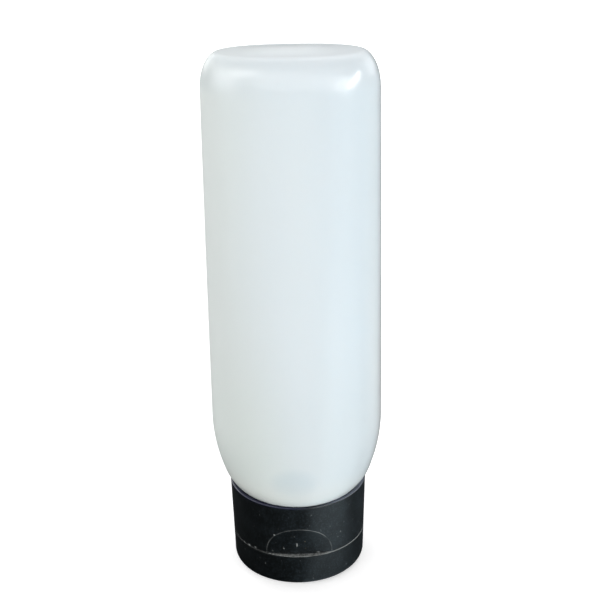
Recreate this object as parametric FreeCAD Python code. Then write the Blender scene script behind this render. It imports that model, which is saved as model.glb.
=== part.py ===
import FreeCAD, Part
import math
import os

# A soft travel squeeze tube that stands upside down on its flip-top cap.
# Lengths are in millimetres and angles in degrees. Z points up.
# The origin is the centre of the flat face that the closed lid stands on.
# The thumb recess faces -Y and the living hinge is at +Y.

# Heights of the cap's main levels
seam_height = 9.2
rim_height = 24.3
shoulder_gap = 0.15

# Outside of the cap
rim_radius = 18.0
skirt_taper = 0.45
lid_taper = 0.2
lid_edge_rounding = 2.4
rim_rounding = 0.3

# Lid
lid_floor = 1.3
lid_wall = 1.3
lid_inner_rounding = 1.2
plug_root_radius = 1.52
plug_tip_radius = 1.0
plug_entry = 2.2
plug_foot_flare = 0.6

# Skirt, deck and spout of the cap's base
skirt_wall = 0.95
deck_thickness = 1.4
deck_recess = 0.4
orifice_radius = 1.6
orifice_chamfer = 0.35
funnel_radius = 3.4
spout_root_radius = 4.6
spout_tip_radius = 3.1
spout_length = 5.4
spout_edge = 0.3

# Ring of the base that centres the lid, and its snap bead
ring_clearance = 0.3
seam_edge = 0.15
ring_thickness = 1.0
ring_depth = 1.3
bead_rise = 0.2
bead_radius = 0.35

# Scoop for the thumb, and the wall kept behind it
scoop_height = 8.4
scoop_depth = 1.4
scoop_plan_radius = 45.0
scoop_hollow_share = 0.25
scoop_backing = 1.0
scoop_lining_run = 4.2
scoop_half_angle = 33.0

# Living hinge, folded shut behind the seam
web_width = 8.8
web_thickness = 0.35
web_leg = 0.85
web_fold_radius = 0.25
web_flat_depth = 0.75
web_flat_margin = 0.3

# Neck finish, thread and sealing washer
neck_radius = 10.75
neck_bore_radius = 9.0
neck_fillet = 1.0
neck_lip = 0.4
thread_pitch = 3.18
thread_rise = 1.1
thread_root_width = 1.5
thread_crest_width = 0.7
thread_turns = 1.5
thread_lead_in = 1.7
thread_clearance = 0.3
thread_root_sink = 0.2
sleeve_wall = 1.2
sleeve_shortfall = 3.1
washer_thickness = 0.8
washer_bore_radius = 5.0
washer_side_play = 0.5

# Squeeze tube
tube_wall = 0.9
shoulder_wall = 1.2
shoulder_corner_width = 1.8
shoulder_corner_height = 4.1
inner_corner_width = 1.2
inner_corner_height = 2.6
foot_extra_depth = 1.5
bore_flare = 0.8
flare_height = 43.5
flare_radius = 42.5
body_half_width = 22.2
end_half_width = 21.95
end_half_depth = 10.4
end_height = 141.1
end_crown = 0.5
end_corner_width = 4.9
end_corner_height = 9.3
end_squareness = 2.35
depth_taper_power = 1.5
section_points = 28

# Share of a quarter arc's leg that gives it its roundness in a smooth curve
quarter_tangent = 0.5523

# Levels and radii that follow from the sizes above
deck_bottom = seam_height + deck_recess
deck_top = deck_bottom + deck_thickness
mouth_height = deck_top + washer_thickness
shoulder_height = rim_height + shoulder_gap
sleeve_top = shoulder_height - sleeve_shortfall
seam_radius = rim_radius - skirt_taper
lid_foot_radius = seam_radius - lid_taper
lid_inner_radius = seam_radius - lid_wall
ring_outer_radius = lid_inner_radius - ring_clearance
ring_inner_radius = ring_outer_radius - ring_thickness
spout_tip = deck_bottom - spout_length
thread_crest_radius = neck_radius + thread_rise
sleeve_bore_radius = thread_crest_radius + thread_clearance
sleeve_radius = sleeve_bore_radius + sleeve_wall
cap_crest_radius = neck_radius + thread_clearance
washer_radius = sleeve_bore_radius - washer_side_play
hinge_flat = seam_radius - web_flat_depth
end_start = end_height - end_corner_height

z_axis = FreeCAD.Vector(0, 0, 1)
centre = FreeCAD.Vector(0, 0, 0)


def point(radius, height):
    """A point of a turned profile, in the XZ plane."""
    return FreeCAD.Vector(radius, 0, height)


def turned(edges):
    """The solid of revolution of a closed profile about the Z axis."""
    profile = Part.Face(Part.Wire(edges))
    return profile.revolve(centre, z_axis, 360)


def straight_edges(corners):
    """Straight edges from each corner to the next."""
    return [Part.makeLine(a, b) for a, b in zip(corners[:-1], corners[1:])]


def quarter_arc(start, end, middle, radius):
    """An arc from start to end about its middle, bulging away from the middle."""
    outward = (start + end) * 0.5 - middle
    outward.normalize()
    return Part.Arc(start, middle + outward * radius, end).toShape()


def cap_radius(height):
    """Outer radius of the cap's base, which widens slightly towards its rim."""
    share = (height - seam_height) / (rim_height - seam_height)
    return seam_radius + (rim_radius - seam_radius) * share


def helical_ridge(radius, rise, start_height):
    """A thread ridge about Z with its root at radius. A negative rise makes it point inwards."""
    direction = math.copysign(1.0, rise)
    root = radius - direction * thread_root_sink
    crest = radius + rise
    slope = (thread_root_width - thread_crest_width) / 2 / abs(rise)
    root_half = thread_root_width / 2 + slope * thread_root_sink
    crest_half = thread_crest_width / 2
    helix = Part.makeHelix(thread_pitch, thread_pitch * thread_turns, radius)
    corners = [
        point(root, -root_half),
        point(crest, -crest_half),
        point(crest, crest_half),
        point(root, root_half),
        point(root, -root_half),
    ]
    profile = Part.Wire(straight_edges(corners))
    ridge = Part.Wire(helix).makePipeShell([profile], True, True)
    ridge.translate(FreeCAD.Vector(0, 0, start_height))
    return ridge


def body_half_width_at(height):
    """Half the tube's width: an arc flares out of the shoulder, then the sides run almost straight."""
    if height < flare_height:
        drop = flare_height - height
        return body_half_width - (flare_radius - math.sqrt(flare_radius ** 2 - drop ** 2))
    share = (height - flare_height) / (end_start - flare_height)
    return body_half_width + (end_half_width - body_half_width) * share ** 2


def body_half_depth_at(height):
    """Half the tube's depth: fullest at the shoulder, flatter towards the closed end."""
    foot = body_half_width_at(shoulder_height) + foot_extra_depth
    share = (height - shoulder_height) / (end_start - shoulder_height)
    return end_half_depth + (foot - end_half_depth) * (1 - share) ** depth_taper_power


def squareness_at(height):
    """Exponent of the section's outline: 2 is an ellipse, and more is squarer."""
    share = (height - shoulder_height) / (end_start - shoulder_height)
    return 2 + (end_squareness - 2) * share


def level_edges(shape, height):
    """The edges of a shape that lie in one level plane."""
    return [
        edge
        for edge in shape.Edges
        if abs(edge.BoundBox.ZMin - height) < 0.001 and abs(edge.BoundBox.ZMax - height) < 0.001
    ]


def section_curve(half_width, half_depth, squareness, height):
    """One closed cross-section of the tube."""
    points = []
    for step in range(section_points):
        angle = 2 * math.pi * step / section_points
        across = math.cos(angle)
        along = math.sin(angle)
        x = half_width * math.copysign(abs(across) ** (2 / squareness), across)
        y = half_depth * math.copysign(abs(along) ** (2 / squareness), along)
        points.append(FreeCAD.Vector(x, y, height))
    stations = [float(step) for step in range(section_points + 1)]
    curve = Part.BSplineCurve()
    curve.interpolate(Points=points, PeriodicFlag=True, Parameters=stations)
    return curve


def body_section(height, inset):
    """Half width, half depth, squareness and height of the body at a level, drawn in by inset."""
    return [
        body_half_width_at(height) - inset,
        body_half_depth_at(height) - inset,
        squareness_at(height),
        height,
    ]


def section_rates(height, inset):
    """How fast each value of the body's section changes with height at a level."""
    nudge = 0.01
    below = body_section(height - nudge, inset)
    return [(b - a) / nudge for a, b in zip(below, body_section(height, inset))]


def foot_controls(foot_height, inset, corner_width, corner_height):
    """Controls of the rounded corner from the flat shoulder into the side."""
    half_width, half_depth, squareness, height = body_section(foot_height, inset)
    kept = corner_width * (1 - quarter_tangent)
    flat_edge = [half_width - corner_width, half_depth - corner_width, squareness, height]
    leaving = [half_width - kept, half_depth - kept, squareness, height]
    top = foot_height + corner_height
    reach = corner_height * quarter_tangent
    rates = section_rates(top, inset)
    arriving = [value - rate * reach for value, rate in zip(body_section(top, inset), rates)]
    return [flat_edge, leaving, arriving]


def span_controls(low, high, inset):
    """Controls of a smooth span between two levels: its start, and the ends of its two tangents."""
    third = (high - low) / 3
    start = body_section(low, inset)
    finish = body_section(high, inset)
    return [
        start,
        [value + rate * third for value, rate in zip(start, section_rates(low, inset))],
        [value - rate * third for value, rate in zip(finish, section_rates(high, inset))],
    ]


def end_controls(inset):
    """Controls of the closed end: a quarter of an ellipse for the corner, then a low crown."""
    half_width = end_half_width - inset
    half_depth = end_half_depth - inset
    corner_width = end_corner_width - inset
    corner_height = end_corner_height - inset
    controls = []
    for inward, upward in ((0, 0), (0, quarter_tangent), (1 - quarter_tangent, 1), (1, 1)):
        drawn_in = corner_width * inward
        height = end_start + corner_height * upward
        controls.append([half_width - drawn_in, half_depth - drawn_in, end_squareness, height])
    flat_width = half_width - corner_width
    flat_depth = half_depth - corner_width
    for share, rise in ((0.7, 0), (0.45, end_crown), (0.08, end_crown)):
        height = end_start + corner_height + rise
        controls.append([flat_width * share, flat_depth * share, end_squareness, height])
    return controls


def tube_form(foot_height, inset, corner_width, corner_height):
    """The tube's closed form from a foot level to its end, drawn in by inset all round."""
    middle = (flare_height + end_start) / 2
    levels = [foot_height + corner_height, flare_height, middle, end_start]
    controls = foot_controls(foot_height, inset, corner_width, corner_height)
    for low, high in zip(levels[:-1], levels[1:]):
        controls += span_controls(low, high, inset)
    controls += end_controls(inset)

    curves = [section_curve(*control) for control in controls]
    rows = [list(row) for row in zip(*[curve.getPoles() for curve in curves])]
    spans = (len(controls) - 1) // 3
    surface = Part.BSplineSurface()
    surface.buildFromPolesMultsKnots(
        rows,
        curves[0].getMultiplicities(),
        [4] + [3] * (spans - 1) + [4],
        curves[0].getKnots(),
        [float(span) for span in range(spans + 1)],
        True,
        False,
        curves[0].Degree,
        3,
    )
    side = surface.toShape()
    ends = [
        Part.Face(Part.Wire(edge))
        for edge in level_edges(side, foot_height) + level_edges(side, controls[-1][-1])
    ]
    shell = Part.makeShell([side] + ends)
    shell.sewShape()
    solid = Part.makeSolid(shell)
    if solid.Volume < 0:
        solid.reverse()
    return solid


def neck_form():
    """Outer form of the neck, from its mouth up into the shoulder, without the thread."""
    fillet_foot = point(neck_radius, shoulder_height - neck_fillet)
    fillet_top = point(neck_radius + neck_fillet, shoulder_height)
    fillet_middle = point(neck_radius + neck_fillet, shoulder_height - neck_fillet)
    core_top = shoulder_height + shoulder_wall / 2
    edges = straight_edges(
        [
            point(0, mouth_height),
            point(neck_radius - neck_lip, mouth_height),
            point(neck_radius, mouth_height + neck_lip),
            fillet_foot,
        ]
    )
    edges.append(quarter_arc(fillet_foot, fillet_top, fillet_middle, neck_fillet))
    edges += straight_edges(
        [
            fillet_top,
            point(neck_radius + neck_fillet, core_top),
            point(0, core_top),
            point(0, mouth_height),
        ]
    )
    return turned(edges)


def bore_form(cavity_foot):
    """The way through the neck, which flares out into the cavity."""
    flare_start = point(neck_bore_radius, cavity_foot - bore_flare)
    flare_end = point(neck_bore_radius + bore_flare, cavity_foot)
    flare_middle = point(neck_bore_radius + bore_flare, cavity_foot - bore_flare)
    bore_end = cavity_foot + shoulder_wall
    edges = straight_edges([point(0, mouth_height), point(neck_bore_radius, mouth_height), flare_start])
    edges.append(quarter_arc(flare_start, flare_end, flare_middle, bore_flare))
    edges += straight_edges(
        [
            flare_end,
            point(neck_bore_radius + bore_flare, bore_end),
            point(0, bore_end),
            point(0, mouth_height),
        ]
    )
    return turned(edges)


def make_tube():
    """Blown body, shoulder and threaded neck in one piece."""
    cavity_foot = shoulder_height + shoulder_wall
    body = tube_form(shoulder_height, 0, shoulder_corner_width, shoulder_corner_height)
    cavity = tube_form(cavity_foot, tube_wall, inner_corner_width, inner_corner_height)
    ridge = helical_ridge(neck_radius, thread_rise, mouth_height + thread_lead_in)
    solid = body.fuse(neck_form()).fuse(ridge)
    return solid.cut(cavity.fuse(bore_form(cavity_foot))).removeSplitter()


def bead_edges(outer, top, bottom, rise):
    """A wall line from top down to bottom at radius outer, with a low rounded bead half-way."""
    middle = (top + bottom) / 2
    upper = point(outer, middle + bead_radius)
    lower = point(outer, middle - bead_radius)
    return [
        Part.makeLine(point(outer, top), upper),
        Part.Arc(upper, point(outer + rise, middle), lower).toShape(),
        Part.makeLine(lower, point(outer, bottom)),
    ]


def scoop_cutter():
    """The body that the thumb scoop removes: flat across, and hollowed out from top to bottom."""
    top = seam_height + scoop_height
    floor = scoop_plan_radius
    floor_top = scoop_plan_radius + scoop_depth + cap_radius(top) - seam_radius
    far = floor_top + rim_radius
    bulge = (floor_top - floor) * scoop_hollow_share
    edges = [
        Part.Arc(
            point(floor, seam_height),
            point(floor + bulge, seam_height + scoop_height / 2),
            point(floor_top, top),
        ).toShape()
    ]
    edges += straight_edges(
        [
            point(floor_top, top),
            point(far, top),
            point(far, deck_bottom - ring_depth),
            point(floor, deck_bottom - ring_depth),
            point(floor, seam_height),
        ]
    )
    profile = Part.Face(Part.Wire(edges))
    width_angle = math.degrees(2 * rim_radius / scoop_plan_radius)
    cutter = profile.revolve(centre, z_axis, width_angle)
    cutter.rotate(centre, z_axis, -90 - width_angle / 2)
    cutter.translate(FreeCAD.Vector(0, scoop_plan_radius - (seam_radius - scoop_depth), 0))
    return cutter


def scoop_lining():
    """The wall that carries the scoop's floor inside the skirt."""
    top = seam_height + scoop_height
    inner = seam_radius - scoop_depth - scoop_backing
    outer = seam_radius - skirt_wall / 2
    ring = turned(
        straight_edges(
            [
                point(inner, deck_bottom),
                point(outer, deck_bottom),
                point(outer, top),
                point(outer - skirt_wall / 2, top),
                point(inner, top - scoop_lining_run),
                point(inner, deck_bottom),
            ]
        )
    )
    reach = 2 * rim_radius
    side = reach * math.tan(math.radians(scoop_half_angle))
    wedge = Part.makePolygon(
        [
            centre,
            FreeCAD.Vector(-side, -reach, 0),
            FreeCAD.Vector(side, -reach, 0),
            centre,
        ]
    )
    sector = Part.Face(wedge).extrude(FreeCAD.Vector(0, 0, rim_height))
    return ring.common(sector)


def hinge_flat_cutter():
    """Shaves a flat across the back of the cap, on both sides of the seam, for the hinge web."""
    half = web_fold_radius + web_leg + web_flat_margin
    return Part.makeBox(
        2 * rim_radius,
        rim_radius,
        2 * half,
        FreeCAD.Vector(-rim_radius, hinge_flat, seam_height - half),
    )


def make_cap_base():
    """Skirt, deck, spout and threaded sleeve, moulded in one."""
    skirt_inside_top = rim_radius - skirt_wall
    skirt_inside_foot = seam_radius - skirt_wall
    shoulder_of_rim = point(rim_radius - rim_rounding, rim_height)
    side_of_rim = point(cap_radius(rim_height - rim_rounding), rim_height - rim_rounding)
    rim_middle = point(rim_radius - rim_rounding, rim_height - rim_rounding)
    seam_side = point(cap_radius(seam_height + seam_edge), seam_height + seam_edge)
    seam_face = point(seam_radius - seam_edge, seam_height)
    edges = [Part.makeLine(seam_face, seam_side), Part.makeLine(seam_side, side_of_rim)]
    edges.append(quarter_arc(side_of_rim, shoulder_of_rim, rim_middle, rim_rounding))
    edges += straight_edges(
        [
            shoulder_of_rim,
            point(skirt_inside_top, rim_height),
            point(skirt_inside_foot, deck_top),
            point(sleeve_radius, deck_top),
            point(sleeve_radius, sleeve_top),
            point(sleeve_bore_radius, sleeve_top),
            point(sleeve_bore_radius, deck_top),
            point(funnel_radius, deck_top),
            point(orifice_radius, deck_bottom),
            point(orifice_radius, spout_tip + orifice_chamfer),
            point(orifice_radius + orifice_chamfer, spout_tip),
            point(spout_tip_radius - spout_edge, spout_tip),
            point(spout_tip_radius, spout_tip + spout_edge),
            point(spout_root_radius, deck_bottom),
            point(ring_inner_radius, deck_bottom),
            point(ring_inner_radius, seam_height - ring_depth),
            point(ring_outer_radius, seam_height - ring_depth),
        ]
    )
    edges += bead_edges(ring_outer_radius, seam_height, seam_height - ring_depth, bead_rise)
    edges.append(Part.makeLine(point(ring_outer_radius, seam_height), seam_face))
    solid = turned(Part.sortEdges(edges)[0])
    inward_rise = cap_crest_radius - sleeve_bore_radius
    half_pitch = thread_pitch / 2
    ridge = helical_ridge(sleeve_bore_radius, inward_rise, mouth_height + thread_lead_in + half_pitch)
    solid = solid.fuse(scoop_lining()).fuse(ridge)
    return solid.cut(scoop_cutter()).cut(hinge_flat_cutter()).removeSplitter()


def make_lid():
    """Flip-top lid: a shallow cup with the plug that closes the orifice."""
    foot_middle = point(lid_foot_radius - lid_edge_rounding, lid_edge_rounding)
    edge_start = point(lid_foot_radius - lid_edge_rounding, 0)
    edge_end = point(lid_foot_radius, lid_edge_rounding)
    inner_foot = point(lid_inner_radius - lid_inner_rounding, lid_floor)
    inner_side = point(lid_inner_radius, lid_floor + lid_inner_rounding)
    inner_middle = point(lid_inner_radius - lid_inner_rounding, lid_floor + lid_inner_rounding)
    seam_side = point(seam_radius, seam_height - seam_edge)
    seam_face = point(seam_radius - seam_edge, seam_height)
    groove_bottom = seam_height - ring_depth
    edges = [
        Part.makeLine(centre, edge_start),
        quarter_arc(edge_start, edge_end, foot_middle, lid_edge_rounding),
        Part.makeLine(edge_end, seam_side),
        Part.makeLine(seam_side, seam_face),
        Part.makeLine(seam_face, point(lid_inner_radius, seam_height)),
    ]
    edges += bead_edges(lid_inner_radius, seam_height, groove_bottom, bead_rise)
    edges += [
        Part.makeLine(point(lid_inner_radius, groove_bottom), inner_side),
        quarter_arc(inner_side, inner_foot, inner_middle, lid_inner_rounding),
    ]
    edges += straight_edges(
        [
            inner_foot,
            point(plug_root_radius + plug_foot_flare, lid_floor),
            point(plug_root_radius, lid_floor + plug_foot_flare),
            point(plug_root_radius, spout_tip),
            point(plug_tip_radius, spout_tip + plug_entry),
            point(0, spout_tip + plug_entry),
            centre,
        ]
    )
    solid = turned(Part.sortEdges(edges)[0])
    return solid.cut(hinge_flat_cutter()).removeSplitter()


def make_living_hinge():
    """Thin web, folded outwards at the seam, that joins the lid to the base."""
    inner = web_fold_radius
    outer = web_fold_radius + web_thickness
    leg = web_fold_radius + web_leg

    def at(depth, height):
        return FreeCAD.Vector(-web_width / 2, hinge_flat + depth, seam_height + height)

    edges = straight_edges([at(0, inner), at(0, leg), at(web_thickness, leg), at(web_thickness, outer)])
    edges.append(Part.Arc(at(web_thickness, outer), at(outer, 0), at(web_thickness, -outer)).toShape())
    edges += straight_edges([at(web_thickness, -outer), at(web_thickness, -leg), at(0, -leg), at(0, -inner)])
    edges.append(Part.Arc(at(0, -inner), at(inner, 0), at(0, inner)).toShape())
    return Part.Face(Part.Wire(edges)).extrude(FreeCAD.Vector(web_width, 0, 0))


def make_sealing_washer():
    """Flat soft ring between the neck's mouth and the deck."""
    disc = Part.makeCylinder(washer_radius, washer_thickness, point(0, deck_top), z_axis)
    hole = Part.makeCylinder(washer_bore_radius, washer_thickness, point(0, deck_top), z_axis)
    return disc.cut(hole)


def main():
    """Builds each piece and writes it to its own file."""
    os.makedirs("parts", exist_ok=True)
    pieces = {
        "tube": make_tube(),
        "cap_base": make_cap_base(),
        "lid": make_lid(),
        "living_hinge": make_living_hinge(),
        "sealing_washer": make_sealing_washer(),
    }
    for name, shape in pieces.items():
        shape.exportStep("parts/" + name + ".step")
        volume = round(shape.Volume / 1000, 3)
        print(name, "solids", len(shape.Solids), "valid", shape.isValid(), "cm3", volume)


main()
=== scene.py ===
"""Looks of a soft travel squeeze tube that stands upside down on its flip-top cap."""

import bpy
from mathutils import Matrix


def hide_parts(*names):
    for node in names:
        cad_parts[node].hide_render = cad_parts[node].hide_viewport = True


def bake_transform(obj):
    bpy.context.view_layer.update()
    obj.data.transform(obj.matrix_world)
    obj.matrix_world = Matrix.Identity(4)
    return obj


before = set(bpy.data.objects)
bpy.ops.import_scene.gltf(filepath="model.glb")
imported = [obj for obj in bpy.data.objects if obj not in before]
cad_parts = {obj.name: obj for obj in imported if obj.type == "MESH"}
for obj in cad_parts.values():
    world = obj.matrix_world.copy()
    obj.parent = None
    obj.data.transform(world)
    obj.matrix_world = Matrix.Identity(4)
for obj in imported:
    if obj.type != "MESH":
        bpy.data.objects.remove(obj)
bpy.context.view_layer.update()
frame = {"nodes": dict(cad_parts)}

import logging
import math
from dataclasses import dataclass
from enum import Enum
from typing import Any

import bpy
from mathutils import Matrix, Quaternion, Vector

MM = 0.001

# Height of the seam between the cap's lid and its base, in millimetres.
SEAM = 9.2

Triple = tuple[float, float, float]
Span = tuple[float, float]
Nodes = dict[str, bpy.types.Object]
Pieces = list[bpy.types.Object]

BLACK: Triple = (0.0, 0.0, 0.0)
WHITE: Triple = (1.0, 1.0, 1.0)

log = logging.getLogger("squeeze_tube")


class Node(Enum):
    """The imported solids."""

    TUBE = "tube"
    WASHER = "sealing_washer"
    CAP_BASE = "cap_base"
    LID = "lid"
    HINGE = "living_hinge"


class Body(Enum):
    """The moving bodies that the hinge web joins."""

    CAP = "cap"
    LID = "lid"


def rgba(colour: Triple) -> tuple[float, float, float, float]:
    """Adds full opacity to a linear colour."""
    return (*colour, 1.0)


class Value:
    """A number or colour that varies over a surface, with Python's arithmetic."""

    def __init__(self, graph: "Graph", socket: bpy.types.NodeSocket) -> None:
        """Wraps one output socket.

        Args:
            graph: the nodes that the socket belongs to.
            socket: the output socket.
        """
        self.graph = graph
        self.socket = socket

    def math(self, operation: str, *others: Any) -> "Value":
        """Feeds this value and others to a Math node.

        Args:
            operation: the node's operation.
            others: more values or plain numbers, in the node's order.

        Returns:
            The node's result.
        """
        inputs = dict(enumerate((self, *others)))
        return self.graph.node("ShaderNodeMath", {"operation": operation}, inputs)

    def __add__(self, other: Any) -> "Value":
        """This value plus another."""
        return self.math("ADD", other)

    def __radd__(self, other: Any) -> "Value":
        """Another value plus this one."""
        return self.math("ADD", other)

    def __sub__(self, other: Any) -> "Value":
        """This value less another."""
        return self.math("SUBTRACT", other)

    def __rsub__(self, other: Any) -> "Value":
        """Another value less this one."""
        return (self * -1.0) + other

    def __mul__(self, other: Any) -> "Value":
        """This value times another."""
        return self.math("MULTIPLY", other)

    def __rmul__(self, other: Any) -> "Value":
        """Another value times this one."""
        return self.math("MULTIPLY", other)

    def __truediv__(self, other: Any) -> "Value":
        """This value divided by another."""
        return self.math("DIVIDE", other)

    def __rtruediv__(self, other: Any) -> "Value":
        """Another value divided by this one."""
        return (self ** -1.0) * other

    def __pow__(self, other: Any) -> "Value":
        """This value raised to a power."""
        return self.math("POWER", other)

    def __abs__(self) -> "Value":
        """This value without its sign."""
        return self.math("ABSOLUTE")

    def at_most(self, limit: Any) -> "Value":
        """The lesser of this value and a limit."""
        return self.math("MINIMUM", limit)

    def at_least(self, limit: Any) -> "Value":
        """The greater of this value and a limit."""
        return self.math("MAXIMUM", limit)

    def output(self, key: Any) -> "Value":
        """Another output of the node that this value comes from."""
        return Value(self.graph, self.socket.node.outputs[key])

    def rises(self, low: float, high: float) -> "Value":
        """A smooth step from zero at low to one at high, or down where low is above high.

        Args:
            low: where the step starts.
            high: where the step ends.

        Returns:
            A mask from zero to one.
        """
        settings = {"interpolation_type": "SMOOTHSTEP"}
        names = ("Value", "From Min", "From Max", "To Min", "To Max")
        numbers = (low, high, 0.0, 1.0) if low < high else (high, low, 1.0, 0.0)
        return self.graph.node("ShaderNodeMapRange", settings, dict(zip(names, (self, *numbers))))


class Graph:
    """Shader nodes of a material or of the world, written as expressions."""

    def __init__(self, owner: bpy.types.Material | bpy.types.World) -> None:
        """Empties the owner's node tree.

        Args:
            owner: the material or the world.
        """
        owner.use_nodes = True
        self.tree = owner.node_tree
        self.tree.nodes.clear()

    def node(
        self,
        kind: str,
        settings: dict[str, Any] | None = None,
        inputs: dict[Any, Any] | None = None,
        result: Any = 0,
    ) -> Value:
        """Adds one node.

        Args:
            kind: the node's type.
            settings: properties that are set before its sockets.
            inputs: values or links by socket name or number.
            result: name or number of the output that is wrapped.

        Returns:
            The wrapped output.
        """
        made = self.tree.nodes.new(kind)
        for name, setting in (settings or {}).items():
            setattr(made, name, setting)
        for key, value in (inputs or {}).items():
            self.feed(made.inputs[key], value)
        return Value(self, made.outputs[result])

    def feed(self, socket: bpy.types.NodeSocket, value: Any) -> None:
        """Links or sets one input socket.

        Args:
            socket: the input.
            value: a wrapped output, or a plain value.
        """
        if isinstance(value, Value):
            self.tree.links.new(value.socket, socket)
        else:
            socket.default_value = value

    def end(self, kind: str, surface: Value) -> None:
        """Adds the output node.

        Args:
            kind: the output node's type.
            surface: the shader that it shows.
        """
        made = self.tree.nodes.new(kind)
        self.feed(made.inputs["Surface"], surface)


class Finish(Graph):
    """A procedural material with one Principled shader."""

    def __init__(self, name: str) -> None:
        """Starts a material.

        Args:
            name: the material's name.
        """
        self.material = bpy.data.materials.new(name)
        super().__init__(self.material)
        shader = self.node("ShaderNodeBsdfPrincipled")
        self.shader = shader.socket.node
        self.end("ShaderNodeOutputMaterial", shader)

    def place(self, size: float = 1.0, stretch: Triple = (1.0, 1.0, 1.0)) -> Value:
        """Object coordinates in steps of a size.

        Args:
            size: the step in millimetres.
            stretch: how much longer the step is along each axis.

        Returns:
            The mapped position.
        """
        scale = tuple(1.0 / (MM * size * share) for share in stretch)
        position = self.node("ShaderNodeTexCoord", result="Object")
        return self.node("ShaderNodeMapping", {}, {"Vector": position, "Scale": scale})

    def axes(self) -> tuple[Value, Value, Value]:
        """The surface point's x, y and z in millimetres."""
        x = self.node("ShaderNodeSeparateXYZ", {}, {0: self.place()})
        return x, x.output(1), x.output(2)

    def spot(self, centre: Triple, reach: Triple, soft: float = 0.5) -> Value:
        """One soft-edged spot.

        Args:
            centre: its place in millimetres.
            reach: its half sizes along the axes in millimetres.
            soft: share of the spot over which it fades.

        Returns:
            A mask that is one inside the spot.
        """
        away = [((value - c) / r) ** 2.0 for value, c, r in zip(self.axes(), centre, reach)]
        return (away[0] + away[1] + away[2]).rises(1.0, 1.0 - soft)

    def noise(
        self, size: float, detail: float = 2.0, stretch: Triple = (1.0, 1.0, 1.0)
    ) -> Value:
        """Soft noise between zero and one.

        Args:
            size: size of its features in millimetres.
            detail: number of finer layers.
            stretch: how much longer the features are along each axis.

        Returns:
            The noise.
        """
        inputs = {"Vector": self.place(size, stretch), "Scale": 1.0, "Detail": detail}
        return self.node("ShaderNodeTexNoise", {}, inputs)

    def specks(self, size: float, share: float, radius: float) -> Value:
        """Scattered round specks.

        Args:
            size: cell size in millimetres.
            share: how many of the cells have a speck.
            radius: largest speck's radius as a share of a cell.

        Returns:
            A mask that is one inside the specks.
        """
        settings = {"voronoi_dimensions": "3D", "feature": "F1"}
        inputs = {"Vector": self.place(size), "Scale": 1.0}
        cells = self.node("ShaderNodeTexVoronoi", settings, inputs, "Distance")
        chance = self.node("ShaderNodeSeparateColor", {}, {0: cells.output("Color")})
        reach = chance.output(1) * radius * chance.rises(share, share * 0.9)
        return (reach - cells).rises(0.0, 0.3 * radius)

    def blend(self, share: Any, first: Any, second: Any) -> Value:
        """Mixes two colours.

        Args:
            share: how much of the second colour shows.
            first: a linear colour or a wrapped one.
            second: a linear colour or a wrapped one.

        Returns:
            The mixed colour.
        """
        ends = [end if isinstance(end, Value) else rgba(end) for end in (first, second)]
        inputs = {0: share, 6: ends[0], 7: ends[1]}
        return self.node("ShaderNodeMix", {"data_type": "RGBA"}, inputs, 2)

    def bump(self, height: Value, depth: float, under: Value | None = None) -> Value:
        """Turns a height pattern into a normal.

        Args:
            height: the pattern, from zero to one.
            depth: how far the pattern stands out, in millimetres.
            under: a normal that this one adds to.

        Returns:
            The bumped normal.
        """
        inputs = {"Height": height, "Distance": depth * MM, "Strength": 1.0}
        if under is not None:
            inputs["Normal"] = under
        return self.node("ShaderNodeBump", {}, inputs)

    def set(self, **sockets: Any) -> None:
        """Sets the Principled shader's sockets, with underscores for spaces.

        Args:
            sockets: values or links by socket name.
        """
        for name, value in sockets.items():
            self.feed(self.shader.inputs[name.replace("_", " ")], value)

    def dress(self, piece: bpy.types.Object) -> None:
        """Makes this the only material of a piece.

        Args:
            piece: the object to dress.
        """
        piece.data.materials.clear()
        piece.data.materials.append(self.material)


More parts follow.
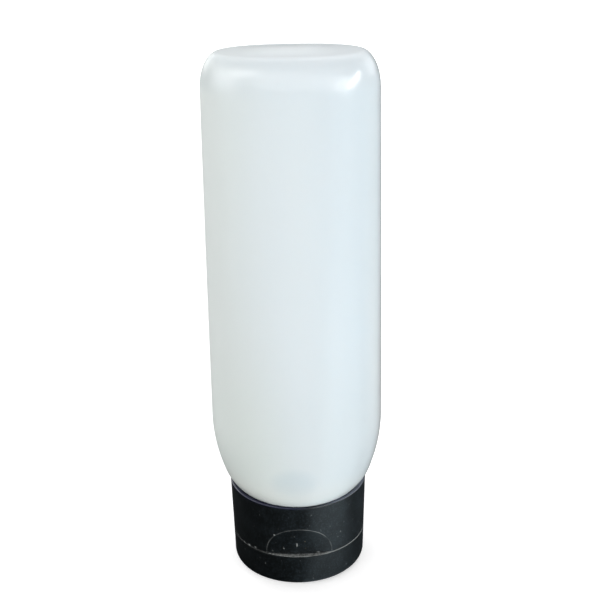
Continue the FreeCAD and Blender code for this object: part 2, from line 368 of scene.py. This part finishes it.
@dataclass(frozen=True)
class MilkyPlastic:
    """Soft, milky, slightly translucent polyethylene with an opal tint, and painted shade and
    light in its colour.

    Places, sizes and depths are in millimetres. A span says where a mask is zero and where it
    is one.
    """

    middle: Triple = (0.832, 0.893, 0.924)
    # Painted shade: left is a greenish tint a little darker than the middle, and right is the
    # middle's tint made darker.
    left: Triple = (0.816, 0.867, 0.845)
    right: Triple = (0.745, 0.80, 0.832)
    # Painted light: a lighter tone along the right edge.
    painted_edge_light: Triple = (0.90, 0.945, 0.96)
    # Painted shade: a darker tone on the upper right.
    painted_upper_right_shade: Triple = (0.70, 0.75, 0.775)
    # Painted shade towards the foot: the three low tones are darker than the tones above them.
    low: Triple = (0.785, 0.834, 0.844)
    painted_low_right_shade: Triple = (0.725, 0.765, 0.775)
    painted_low_left_shade: Triple = (0.785, 0.848, 0.806)
    # Painted shade on the rounded bend below the top end.
    bend: Triple = (0.70, 0.75, 0.78)
    # Painted shade at the upper left corner.
    painted_corner_shade: Triple = (0.46, 0.50, 0.49)
    cream: Triple = (0.80, 0.815, 0.77)
    # Painted shade: a bluish dark patch where the dark neck shows through the wall.
    patch: Triple = (0.60, 0.69, 0.73)
    foot_fade: Span = (78.0, 24.0)
    left_fade: Span = (0.0, -20.0)
    right_fade: Span = (0.0, 18.0)
    right_top: Span = (141.5, 139.5)
    flare_height: float = 43.5
    flare_run: float = 85.0
    edge_side: Span = (16.5, 21.5)
    edge_share: float = 0.9
    upper_right_side: Span = (9.0, 17.0)
    upper_right_rise: Span = (55.0, 115.0)
    upper_right_share: float = 0.55
    upper_right_top: Span = (141.2, 139.0)
    cloud_size: float = 20.0
    cloud_stretch: Triple = (1.0, 1.0, 2.4)
    left_sway: float = 8.0
    right_sway: float = 6.0
    foot_sway: float = 0.12
    foot_shift: float = 5.0
    patch_place: Triple = (-1.0, -17.6, 31.5)
    patch_reach: Triple = (7.3, 7.3, 5.0)
    patch_share: float = 0.4
    bend_rise: Span = (130.5, 136.5)
    bend_share: float = 0.5
    crest_rise: Span = (138.5, 140.0)
    crest_share: float = 0.12
    end_face: Span = (141.7, 141.1)
    corner_side: Span = (-16.0, -21.5)
    corner_rise: Span = (131.5, 137.0)
    corner_share: float = 0.6
    cream_fade: Span = (33.0, 25.5)
    cream_share: float = 0.5
    gloss_top: Span = (142.0, 137.0)
    gloss_left: Span = (-21.0, -11.0)
    ripple_size: float = 9.0
    ripple_stretch: Triple = (1.0, 1.0, 3.0)
    ripple_depth: float = 0.04
    grain_size: float = 0.35
    grain_depth: float = 0.003
    rub_size: float = 7.0
    rub_range: Span = (0.45, 0.75)
    roughness: float = 0.38
    coat_roughness: float = 0.2
    scatter_depth: float = 1.0

    def make(self) -> Finish:
        """Builds the material.

        Returns:
            The finish.
        """
        finish = Finish("milky_polyethylene")
        x, _, z = finish.axes()
        ripple = finish.noise(self.ripple_size, detail=2.0, stretch=self.ripple_stretch)
        grain = finish.noise(self.grain_size, detail=1.0)
        rubbed = finish.noise(self.rub_size, detail=4.0).rises(*self.rub_range)
        gloss = z.rises(*self.gloss_top) * x.rises(*self.gloss_left)
        wavy = finish.bump(ripple, self.ripple_depth)
        finish.set(
            Base_Color=self.tone(finish, x, z),
            Roughness=grain * 0.02 + rubbed * 0.03 + self.roughness,
            Normal=finish.bump(grain, self.grain_depth, wavy),
            Coat_Weight=gloss * 0.9 + 0.1,
            Coat_Roughness=self.coat_roughness,
            Coat_IOR=1.52,
            IOR=1.45,
            Subsurface_Weight=1.0,
            Subsurface_Radius=(1.0, 1.0, 1.0),
            Subsurface_Scale=self.scatter_depth * MM,
        )
        return finish

    def tone(self, finish: Finish, x: Value, z: Value) -> Value:
        """The base colour: an opal tint, greenish at the left, bluish at the right, creamy at the
        foot, with painted shade and painted light.

        Args:
            finish: the material it belongs to.
            x: place from left to right in millimetres.
            z: height in millimetres.

        Returns:
            The base colour.
        """
        foot = z.rises(*self.foot_fade)
        cloud = finish.noise(self.cloud_size, detail=3.0, stretch=self.cloud_stretch) - 0.5
        leftward = x - foot * self.foot_shift + cloud * self.left_sway
        leftward = leftward.rises(*self.left_fade)
        rightward = (x + cloud * self.right_sway).rises(*self.right_fade)
        rightward = rightward * z.rises(*self.right_top)
        # Painted shade: darker towards the right, and greenish and a little darker towards the
        # left.
        tone = finish.blend(rightward, self.middle, self.right)
        tone = finish.blend(leftward, tone, self.left)
        # Painted shade: darker towards the foot, at the left, the middle and the right.
        lower = finish.blend(rightward, self.low, self.painted_low_right_shade)
        lower = finish.blend(leftward, lower, self.painted_low_left_shade)
        tone = finish.blend((foot + cloud * self.foot_sway).at_least(0.0), tone, lower)
        # Painted light: lighter along the right edge, reaching further in near the foot.
        outline = x + (self.flare_height - z).at_least(0.0) ** 2.0 / self.flare_run
        edge = outline.rises(*self.edge_side) * self.edge_share
        tone = finish.blend(edge, tone, self.painted_edge_light)
        # Painted shade on the upper right, short of the top end.
        painted_upper_right_shade = outline.rises(*self.upper_right_side) * z.rises(*self.upper_right_rise)
        painted_upper_right_shade = painted_upper_right_shade * z.rises(*self.upper_right_top) * self.upper_right_share
        tone = finish.blend(painted_upper_right_shade, tone, self.painted_upper_right_shade)
        # Painted shade where the dark neck shows through the wall.
        painted_neck_shadow = finish.spot(self.patch_place, self.patch_reach, 1.0)
        tone = finish.blend(painted_neck_shadow * self.patch_share, tone, self.patch)
        # Painted shade on the rounded bend and its crest below the top end, none on the flat end.
        bend = z.rises(*self.bend_rise) * self.bend_share
        bend = bend + z.rises(*self.crest_rise) * self.crest_share
        tone = finish.blend(bend * z.rises(*self.end_face), tone, self.bend)
        # Painted shade at the upper left corner.
        painted_corner_shade = x.rises(*self.corner_side) * z.rises(*self.corner_rise)
        tone = finish.blend(painted_corner_shade * self.corner_share, tone, self.painted_corner_shade)
        return finish.blend(z.rises(*self.cream_fade) * self.cream_share, tone, self.cream)


@dataclass(frozen=True)
class Grain:
    """One grain of dust on the cap, with its place and half sizes in millimetres."""

    centre: Triple
    reach: Triple
    strength: float


GRAINS = (
    Grain((-0.57, -16.35, 12.15), (0.3, 0.6, 0.75), 1.2),
    Grain((-4.0, -16.05, 10.94), (0.3, 0.6, 0.3), 0.6),
    Grain((-6.45, -16.52, 15.42), (0.35, 0.5, 0.3), 0.8),
    Grain((-13.2, -11.5, 9.4), (0.7, 0.7, 0.4), 0.65),
    Grain((-14.5, -9.8, 9.25), (0.4, 0.5, 0.25), 0.4),
    Grain((-11.5, -13.2, 9.7), (0.55, 0.5, 0.35), 0.5),
    Grain((-9.01, -14.94, 5.82), (0.25, 0.5, 0.35), 0.3),
    Grain((10.93, -13.92, 14.6), (0.25, 0.5, 0.4), 0.45),
    Grain((10.2, -14.43, 13.3), (0.3, 0.5, 0.22), 0.4),
    Grain((8.18, -15.79, 17.38), (0.2, 0.5, 0.25), 0.2),
    Grain((3.3, -17.62, 21.9), (0.25, 0.5, 0.25), 0.25),
    Grain((14.35, -10.45, 16.18), (0.25, 0.5, 0.2), 0.2),
    Grain((13.56, -11.15, 9.45), (0.5, 0.6, 0.3), 0.4),
    Grain((5.03, -15.88, 9.55), (0.6, 0.6, 0.3), 0.5),
    Grain((-7.0, -15.63, 10.15), (0.25, 0.5, 0.3), 0.35),
    Grain((12.4, -12.17, 3.34), (0.2, 0.5, 0.3), 0.3),
    Grain((3.59, -16.95, 2.11), (0.25, 0.5, 0.3), 0.3),
)

LINT = (
    Grain((1.55, -16.51, 13.28), (0.2, 0.5, 0.2), 0.45),
    Grain((1.7, -16.1, 11.0), (0.15, 0.5, 0.15), 0.2),
)


@dataclass(frozen=True)
class BlackPlastic:
    """Satin black polypropylene with dust in its seams, and painted light and shade on its rim,
    its right side and its recess's edge.

    Places, sizes and depths are in millimetres. A span says where a mask is zero and where it
    is one.
    """

    colour: Triple = (0.0012, 0.0018, 0.0020)
    haze: Triple = (0.016, 0.022, 0.026)
    dust: Triple = (0.205, 0.215, 0.21)
    lint: Triple = (0.22, 0.19, 0.12)
    # Painted shade: navy on the rim's top under the tube.
    navy: Triple = (0.012, 0.014, 0.045)
    # A painted highlight with a little dust: pale bluish grey on the rim's face towards the
    # right.
    rim_sheen_and_dust_tint: Triple = (0.17, 0.19, 0.24)
    roughness: float = 0.28
    seam: float = SEAM
    seam_radius: float = 17.55
    taper: float = 0.0298
    scoop_centre: float = 28.85
    scoop_radius: float = 45.0
    scoop_curve: float = 0.0233
    patch_size: float = 2.2
    cloud_size: float = 5.0
    cloud_range: Span = (0.4, 0.7)
    mottle_size: float = 0.45
    mottle_range: Span = (0.46, 0.66)
    scuff_size: float = 1.5
    scuff_stretch: Triple = (0.4, 3.0, 1.0)
    scuff_range: Span = (0.5, 0.7)
    # Painted light: where the haze grows towards the cap's lit right side.
    foot_wear: Span = (1.2, 0.1)
    right_light_side: Span = (-15.0, 2.0)
    navy_rise: Span = (23.7, 24.1)
    navy_side: Span = (5.0, -3.0)
    rim_rise: Span = (24.1, 24.25)
    rim_sheen_side: Span = (3.0, 10.0)
    rim_gaps: Span = (0.45, 0.7)
    dull_reach: Span = (0.4, 0.2)
    dull_side: Span = (-3.0, -9.0)
    grain_size: float = 0.25
    grain_depth: float = 0.006
    dust_depth: float = 0.04
    front: Span = (-4.0, -6.0)
    seam_reach: Span = (0.22, 0.10)
    seam_depth: Span = (-0.6, -0.3)
    seam_gaps: Span = (0.42, 0.62)
    seam_start: Span = (-11.0, -8.0)
    seam_side: Span = (2.0, 10.0)
    seam_end: Span = (14.5, 16.5)
    edge_reach: Span = (-0.07, -0.02)
    edge_foot: Span = (0.0, 0.1)
    arc_start: Span = (0.0, 3.0)
    arc_end: Span = (7.4, 5.8)
    arc_gaps: Span = (0.3, 0.65)
    ledge_height: Span = (0.1, 0.05)
    ledge_depth: Span = (-0.1, 0.1)
    fluff_size: float = 0.5
    fluff_range: Span = (0.35, 0.6)
    ragged_size: float = 0.35
    ragged_range: Span = (0.35, 0.5)
    grain_gain: float = 1.3

    def make(self) -> Finish:
        """Builds the material.

        Returns:
            The finish.
        """
        finish = Finish("black_polypropylene")
        x, _, z = finish.axes()
        above = z - self.seam
        patch = finish.noise(self.patch_size, detail=4.0)
        cloud = finish.noise(self.cloud_size, detail=5.0)
        dust_and_highlight = self.dust_and_highlight(finish, patch)

        mottle = finish.noise(self.mottle_size, detail=3.0).rises(*self.mottle_range)
        scuffs = finish.noise(self.scuff_size, detail=4.0, stretch=self.scuff_stretch)
        scuffed = z.rises(*self.foot_wear) * scuffs.rises(*self.scuff_range)
        hazy = mottle * 0.6 + cloud.rises(*self.cloud_range) * 0.3 + scuffed * 0.6
        hazy = hazy.at_most(1.0)
        # Painted light: the haze grows towards the right, which lightens the cap's lit right
        # side.
        painted_right_light = x.rises(*self.right_light_side) * 0.7 + 0.3
        # Painted shade: navy on the rim's top under the tube, at the left and middle.
        painted_rim_shade = z.rises(*self.navy_rise) * x.rises(*self.navy_side)
        # A painted highlight on the rim's face towards the right, with a little dust in gaps.
        rim_dust_and_sheen = x.rises(*self.rim_sheen_side) * 0.7 + patch.rises(*self.rim_gaps) * 0.1
        rim_dust_and_sheen = rim_dust_and_sheen * z.rises(*self.rim_rise)

        tone = finish.blend(hazy * painted_right_light, self.colour, self.haze)
        tone = finish.blend(painted_rim_shade * 0.7, tone, self.navy)
        tone = finish.blend(rim_dust_and_sheen, tone, self.rim_sheen_and_dust_tint)
        # Dust, with a painted highlight on the recess edge's right arc.
        tone = finish.blend(dust_and_highlight, tone, self.dust)
        tone = finish.blend(self.lint_spots(finish), tone, self.lint)

        grain = finish.noise(self.grain_size, detail=2.0)
        grainy = finish.bump(grain, self.grain_depth)
        dull_edge = abs(above).rises(*self.dull_reach) * x.rises(*self.dull_side)
        rougher = cloud * 0.08 + dust_and_highlight * 0.3 + scuffed * 0.1 + dull_edge * 0.5
        finish.set(
            Base_Color=tone,
            Roughness=rougher + self.roughness,
            Normal=finish.bump(dust_and_highlight, self.dust_depth, grainy),
            Specular_IOR_Level=0.5,
        )
        return finish

    def dust_and_highlight(self, finish: Finish, patch: Value) -> Value:
        """Dust in the seam, on the thumb recess's edge and ledge, and in grains, with a painted
        highlight on the edge's right arc.

        Args:
            finish: the material it belongs to.
            patch: noise that breaks the dust up.

        Returns:
            A mask that is one where the dust is thick and on the painted highlight.
        """
        x, y, z = finish.axes()
        above = z - self.seam
        front = y.rises(*self.front)
        wall = (x * x + y * y) ** 0.5 - above * self.taper - self.seam_radius
        behind = y - self.scoop_centre
        scoop = (x * x + behind * behind) ** 0.5 - above * above * self.scoop_curve
        scoop = scoop - self.scoop_radius

        rightward = x.rises(*self.seam_side)
        seam = abs(above).rises(*self.seam_reach) * wall.rises(*self.seam_depth)
        seam = seam * (patch + rightward * 0.32 - 0.05).rises(*self.seam_gaps)
        ends = x.rises(*self.seam_start) * 0.24 + x.rises(*self.seam_end) * 0.3
        seam = seam * (ends + rightward * 0.62 + 0.04)

        edge = scoop.rises(*self.edge_reach) * wall.rises(*self.edge_reach)
        edge = edge * above.rises(*self.edge_foot) * front
        # Painted highlight along the recess edge's right arc.
        right_arc_highlight = x.rises(*self.arc_start) * x.rises(*self.arc_end) * 0.5
        edge = edge * (patch.rises(*self.arc_gaps) * 0.4 + right_arc_highlight + 0.06)

        fluff = finish.noise(self.fluff_size, detail=3.0).rises(*self.fluff_range)
        ledge = abs(above).rises(*self.ledge_height) * scoop.rises(*self.ledge_depth) * front
        ledge = ledge * (fluff * 0.9 + 0.4)
        return (seam + edge * 0.8 + ledge * 0.8 + self.grains(finish)).at_most(1.0)

    def grains(self, finish: Finish) -> Value:
        """Loose dust: single grains, and finer ones all over.

        Args:
            finish: the material they belong to.

        Returns:
            A mask that is one on the grains.
        """
        coarse = finish.specks(size=1.3, share=0.25, radius=0.16)
        fine = finish.specks(size=0.7, share=0.4, radius=0.22)
        total = coarse * 0.5 + fine * 0.25
        ragged = finish.noise(self.ragged_size, detail=2.0).rises(*self.ragged_range)
        for grain in GRAINS:
            spot = finish.spot(grain.centre, grain.reach, soft=0.8)
            total = total + spot * ragged * (grain.strength * self.grain_gain)
        return total

    def lint_spots(self, finish: Finish) -> Value:
        """Two yellowish grains in the thumb recess.

        Args:
            finish: the material they belong to.

        Returns:
            A mask that is part-way on the grains.
        """
        first, second = (finish.spot(g.centre, g.reach) * g.strength for g in LINT)
        return first + second


@dataclass(frozen=True)
class FoamedPlastic:
    """Soft white foamed sheet, as sealing washers are cut from, with sizes in millimetres."""

    colour: Triple = (0.78, 0.78, 0.75)
    pores: Triple = (0.60, 0.60, 0.58)
    cell_size: float = 0.4
    cell_depth: float = 0.03
    cell_range: Span = (0.3, 0.7)

    def make(self) -> Finish:
        """Builds the material.

        Returns:
            The finish.
        """
        finish = Finish("foamed_sheet")
        cells = finish.noise(self.cell_size, detail=3.0)
        pitted = cells.rises(*self.cell_range) * 0.3
        finish.set(
            Base_Color=finish.blend(pitted, self.colour, self.pores),
            Roughness=cells * 0.1 + 0.7,
            Normal=finish.bump(cells, self.cell_depth),
        )
        return finish


@dataclass
class TubeBody:
    """The blown tube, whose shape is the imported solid's."""

    plastic: MilkyPlastic = MilkyPlastic()

    def dress(self, nodes: Nodes) -> Pieces:
        """Gives the tube its milky plastic.

        Args:
            nodes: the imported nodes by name.

        Returns:
            The dressed pieces.
        """
        tube = nodes[Node.TUBE.value]
        self.plastic.make().dress(tube)
        return [tube]


@dataclass
class SealingRing:
    """The washer between the neck and the cap's deck."""

    foam: FoamedPlastic = FoamedPlastic()

    def dress(self, nodes: Nodes) -> Pieces:
        """Gives the washer its foamed plastic.

        Args:
            nodes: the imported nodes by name.

        Returns:
            The dressed pieces.
        """
        washer = nodes[Node.WASHER.value]
        self.foam.make().dress(washer)
        return [washer]


@dataclass
class HingeWeb:
    """The thin web that bends between the cap's base and its lid, with sizes in millimetres."""

    width: float = 8.8
    thickness: float = 0.35
    back: float = 16.8
    seam: float = SEAM
    leg: float = 1.1
    fold: float = 0.25
    bulge_foot: float = 0.6
    steps: int = 6

    def build(self) -> bpy.types.Object:
        """Models the folded web by drawing a strip up from the lid to the base.

        Returns:
            The web as a mesh.
        """
        deselect()
        levels = self.levels()
        low = levels[0]
        near, far = self.depths(low)
        place = Vector((0, self.back + (near + far) / 2, self.seam + low)) * MM
        bpy.ops.mesh.primitive_plane_add(size=1.0, location=place)
        web = bpy.context.object
        web.name = "hinge_web"
        web.scale = (self.width * MM, (far - near) * MM, 1.0)
        apply_place(web)
        bpy.ops.object.mode_set(mode="EDIT")
        bpy.ops.mesh.select_all(action="SELECT")
        for below, above in zip(levels[:-1], levels[1:]):
            old, new = self.depths(below), self.depths(above)
            rise = Vector((0, (sum(new) - sum(old)) / 2, above - below)) * MM
            bpy.ops.mesh.extrude_region_move(TRANSFORM_OT_translate={"value": rise})
            centre = Vector((0, self.back + sum(new) / 2, self.seam + above)) * MM
            stretch = (new[1] - new[0]) / (old[1] - old[0])
            bpy.ops.transform.resize(value=(1.0, stretch, 1.0), center_override=centre)
        bpy.ops.mesh.select_all(action="SELECT")
        bpy.ops.mesh.normals_make_consistent(inside=False)
        bpy.ops.object.mode_set(mode="OBJECT")
        return web

    def levels(self) -> list[float]:
        """Heights of the strip's cross-sections.

        Returns:
            Heights above the seam, from the lid up to the base.
        """
        angles = [math.pi / 2 * step / self.steps for step in range(self.steps + 1)]
        fine = [self.fold * math.sin(angle) for angle in angles]
        rest = self.bulge_foot - self.fold
        coarse = [self.fold + rest * share for share in (0.25, 0.5, 0.75, 1.0)]
        upper = fine + coarse + [self.leg]
        return [-height for height in reversed(upper[1:])] + upper

    def depths(self, height: float) -> Span:
        """The strip's two faces at a height above the seam.

        Args:
            height: height above the seam.

        Returns:
            How far its near and far face stand behind the flat of the cap.
        """
        near = math.sqrt(max(self.fold**2 - height**2, 0.0))
        radius = (self.bulge_foot**2 + self.fold**2) / (2 * self.fold)
        reach = min(abs(height), self.bulge_foot)
        bulge = self.fold - radius + math.sqrt(radius**2 - reach**2)
        return near, self.thickness + bulge


@dataclass
class SnapCap:
    """The black screw cap: its base, its lid and the web. The web's bend, given in millimetres,
    is not used.
    """

    bend_start: Triple = (0.0, 17.1, 8.8)
    bend_end: Triple = (0.0, 17.1, 9.6)
    slot: str = "black_cap"
    plastic: BlackPlastic = BlackPlastic()

    def dress(self, nodes: Nodes) -> Pieces:
        """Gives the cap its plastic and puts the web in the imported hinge's place.

        Args:
            nodes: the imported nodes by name.

        Returns:
            The dressed pieces.
        """
        web = HingeWeb().build()
        pieces = [nodes[Node.CAP_BASE.value], nodes[Node.LID.value], web]
        black = self.plastic.make()
        for piece in pieces:
            black.dress(piece)
        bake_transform(web)
        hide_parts(Node.HINGE.value)
        return pieces


def deselect() -> None:
    """Leaves nothing selected."""
    if bpy.context.object is not None and bpy.context.object.mode != "OBJECT":
        bpy.ops.object.mode_set(mode="OBJECT")
    bpy.ops.object.select_all(action="DESELECT")


def apply_place(piece: bpy.types.Object) -> None:
    """Moves a piece's place, turn and size into its mesh.

    Args:
        piece: the object, which is left selected alone.
    """
    deselect()
    piece.select_set(True)
    bpy.context.view_layer.objects.active = piece
    bpy.ops.object.transform_apply(location=True, rotation=True, scale=True)


@dataclass(frozen=True)
class Softbox:
    """A rectangular lamp that faces the tube.

    The azimuth is in degrees to the camera's right of the front, the distance from the tube's
    middle and the sides are in metres, and the power is in watts. The lean is in degrees that
    the upper end leans to the left, seen from behind the lamp.
    """

    name: str
    azimuth: float
    elevation: float
    distance: float
    sides: Span
    power: float
    lean: float = 0.0

    def add(self, middle: Vector) -> None:
        """Adds the lamp.

        Args:
            middle: the point it faces, in metres.
        """
        data = bpy.data.lights.new(self.name, "AREA")
        data.energy = self.power
        data.shape = "RECTANGLE"
        data.size, data.size_y = self.sides
        lamp = bpy.data.objects.new(self.name, data)
        bpy.context.scene.collection.objects.link(lamp)
        around, up = math.radians(self.azimuth), math.radians(self.elevation)
        flat = math.cos(up)
        way = Vector((math.sin(around) * flat, -math.cos(around) * flat, math.sin(up)))
        lamp.location = middle + way * self.distance
        leaning = Quaternion((0.0, 0.0, 1.0), math.radians(self.lean))
        lamp.rotation_euler = (way.to_track_quat("Z", "Y") @ leaning).to_euler()


SOFTBOXES = (
    Softbox("key", 48.0, 13.0, 0.95, (0.075, 0.48), 2.9, -42.0),
    Softbox("glow", 33.0, 7.0, 0.9, (0.3, 0.3), 0.95, -40.0),
    Softbox("soft", -29.0, 37.0, 1.0, (0.32, 0.3), 1.1),
    Softbox("front", 8.0, 20.0, 1.2, (1.2, 0.8), 3.8),
    Softbox("right", 105.0, 24.0, 1.3, (1.2, 0.9), 5.6),
    Softbox("front_left", -60.0, 19.0, 1.3, (1.2, 0.9), 9.3),
    Softbox("left", -95.0, 19.0, 1.3, (1.2, 0.9), 2.2),
    Softbox("back_left", -130.0, 19.0, 1.3, (1.2, 0.9), 10.0),
    Softbox("back", 180.0, 50.0, 1.2, (1.5, 1.5), 4.9),
    Softbox("above", 140.0, 68.0, 1.0, (0.6, 0.6), 1.8),
)


@dataclass
class Studio:
    """Floor, lamps and camera.

    The camera's target and distance, the card's centre and the floor's fades are in millimetres,
    the floor's side and the far clip are in metres, and the turns about the card's centre are in
    degrees to the camera's right of the front.
    """

    target: Triple = (1.41, 0.0, 75.3)
    distance: float = 434.7
    elevation: float = 24.5
    roll: float = -1.06
    lens: float = 102.0
    sensor: float = 36.0
    far_clip: float = 50.0
    floor_side: float = 12.0
    floor_grey: Triple = (0.8, 0.8, 0.8)
    card_tint: Triple = (0.82, 1.0, 1.1)
    card_centre: Span = (-2.0, -11.0)
    card_start: Span = (14.0, 40.0)
    card_end: Span = (105.0, 62.0)
    haze_start: Span = (-80.0, 30.0)
    haze_end: Span = (160.0, 90.0)
    near_shade_fade: Span = (16.0, 42.0)
    glow_fade: Span = (150.0, 900.0)
    air: Triple = (0.95, 0.98, 1.0)
    air_strength: float = 0.02

    def build(self) -> None:
        """Makes the floor, the world, the lamps and the camera."""
        self.floor()
        self.world()
        for softbox in SOFTBOXES:
            softbox.add(Vector(self.target) * MM)
        self.camera()

    def floor(self) -> None:
        """A pale floor that shows white to the camera and keeps the shadow.

        To all other rays it is dark but for a pale card at the front right, which the cap's
        wall mirrors.
        """
        deselect()
        bpy.ops.mesh.primitive_plane_add(size=self.floor_side)
        floor = bpy.context.object
        floor.name = "floor"
        finish = Finish("pale_floor")
        seen = finish.node("ShaderNodeLightPath", result="Is Camera Ray")
        x, y, _ = finish.axes()
        across, ahead = x - self.card_centre[0], self.card_centre[1] - y
        turn = across.math("ARCTAN2", ahead) * math.degrees(1.0)
        card = turn.rises(*self.card_start) * turn.rises(*self.card_end)
        haze = turn.rises(*self.haze_start) * turn.rises(*self.haze_end)
        away = (x * x + y * y) ** 0.5
        # Painted shade: the card dims near the tube's foot, where the cap's lower wall mirrors
        # it.
        near = away.rises(*self.near_shade_fade) * 0.35 + 0.65
        pale = (card * 0.84 + haze * 0.11 + 0.02) * near
        mirrored = finish.blend(pale, BLACK, self.card_tint)
        glow = away.rises(*self.glow_fade) * 0.55 + 0.45
        finish.set(
            Base_Color=finish.blend(seen, mirrored, self.floor_grey),
            Roughness=0.9,
            Specular_IOR_Level=0.1,
            Emission_Color=finish.blend(seen * glow, BLACK, WHITE),
            Emission_Strength=1.0,
        )
        finish.dress(floor)

    def world(self) -> None:
        """Faint even light all round, white to the camera."""
        world = bpy.data.worlds.new("studio_air")
        bpy.context.scene.world = world
        graph = Graph(world)
        seen = graph.node("ShaderNodeLightPath", result="Is Camera Ray")
        lights = ((self.air, self.air_strength), (WHITE, 1.0))
        dim, bright = (
            graph.node("ShaderNodeBackground", {}, {"Color": rgba(colour), "Strength": strength})
            for colour, strength in lights
        )
        mixed = graph.node("ShaderNodeMixShader", {}, {0: seen, 1: dim, 2: bright})
        graph.end("ShaderNodeOutputWorld", mixed)

    def camera(self) -> None:
        """Sets the camera where the photograph was taken from."""
        data = bpy.data.cameras.new("camera")
        data.lens = self.lens
        data.sensor_width = self.sensor
        data.clip_end = self.far_clip
        camera = bpy.data.objects.new("camera", data)
        bpy.context.scene.collection.objects.link(camera)
        up, roll = math.radians(self.elevation), math.radians(self.roll)
        back = Vector((0, -math.cos(up), math.sin(up)))
        right = Vector((1, 0, 0))
        above = back.cross(right)
        side = right * math.cos(roll) + above * math.sin(roll)
        top = above * math.cos(roll) - right * math.sin(roll)
        turn = Matrix((side, top, back)).transposed().to_4x4()
        place = (Vector(self.target) + back * self.distance) * MM
        camera.matrix_world = Matrix.Translation(place) @ turn
        bpy.context.scene.camera = camera


def main() -> None:
    """Builds every piece in order and reports it."""
    logging.basicConfig(level=logging.INFO, format="%(name)s: %(message)s")
    bpy.context.scene.view_settings.view_transform = "Standard"
    for assembly in (TubeBody(), SealingRing(), SnapCap()):
        for piece in assembly.dress(frame["nodes"]):
            log.info("%s dressed in %s", piece.name, piece.data.materials[0].name)
    Studio().build()
    log.info("studio built")


if __name__ == "__main__":
    main()
